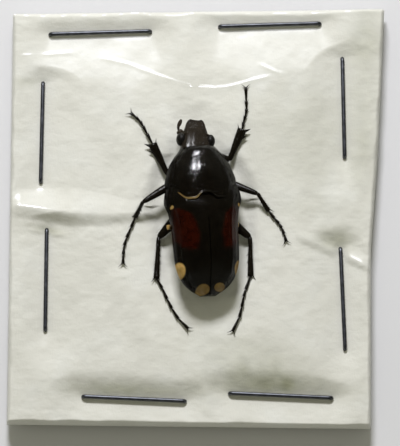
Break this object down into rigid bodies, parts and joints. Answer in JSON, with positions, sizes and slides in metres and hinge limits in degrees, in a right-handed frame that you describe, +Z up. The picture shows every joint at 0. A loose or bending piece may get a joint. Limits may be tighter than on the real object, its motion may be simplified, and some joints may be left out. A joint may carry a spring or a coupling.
{
  "type": "mounted dried beetle specimen",
  "caption": "Dried black and dark red flower beetle, legs spread, lying on a cotton pad and card under a clear film held by wire staples.",
  "frame": {"origin": "centre of the packet's outline, at the level that the clinched staples rest on", "axes": "+X across the packet towards the beetle's right side, +Y along it towards the beetle's head, +Z up out of the packet"},
  "size_m": [0.0474, 0.0536, 0.0111],
  "materials": {
    "card": "matte",
    "cotton": "matte",
    "film": "clear gloss",
    "staple_steel": "satin",
    "black_chitin": "gloss",
    "red_black_chitin": "gloss",
    "brown_chitin": "satin",
    "eye": "gloss"
  },
  "bodies": {
    "root": {"abdomen": "brown_chitin", "antenna_left": "brown_chitin", "antenna_right": "brown_chitin", "card": "card", "cotton_pad": "cotton", "elytron_left": "red_black_chitin", "elytron_right": "red_black_chitin", "eye_left": "eye", "eye_right": "eye", "femur_front_left": "black_chitin", "femur_front_right": "black_chitin", "femur_hind_left": "black_chitin", "femur_hind_right": "black_chitin", "femur_mid_left": "black_chitin", "femur_mid_right": "black_chitin", "film": "film", "head": "black_chitin", "pronotum": "black_chitin", "prosternum": "black_chitin", "scutellum": "black_chitin", "staple_back_left": "staple_steel", "staple_back_right": "staple_steel", "staple_front_left": "staple_steel", "staple_front_right": "staple_steel", "staple_left_back": "staple_steel", "staple_left_front": "staple_steel", "staple_right_back": "staple_steel", "staple_right_front": "staple_steel", "tarsus_front_left": "black_chitin", "tarsus_front_right": "black_chitin", "tarsus_hind_left": "black_chitin", "tarsus_hind_right": "black_chitin", "tarsus_mid_left": "black_chitin", "tarsus_mid_right": "black_chitin", "thorax": "black_chitin", "tibia_front_left": "black_chitin", "tibia_front_right": "black_chitin", "tibia_hind_left": "black_chitin", "tibia_hind_right": "black_chitin", "tibia_mid_left": "black_chitin", "tibia_mid_right": "black_chitin"}
  },
  "joints": []
}
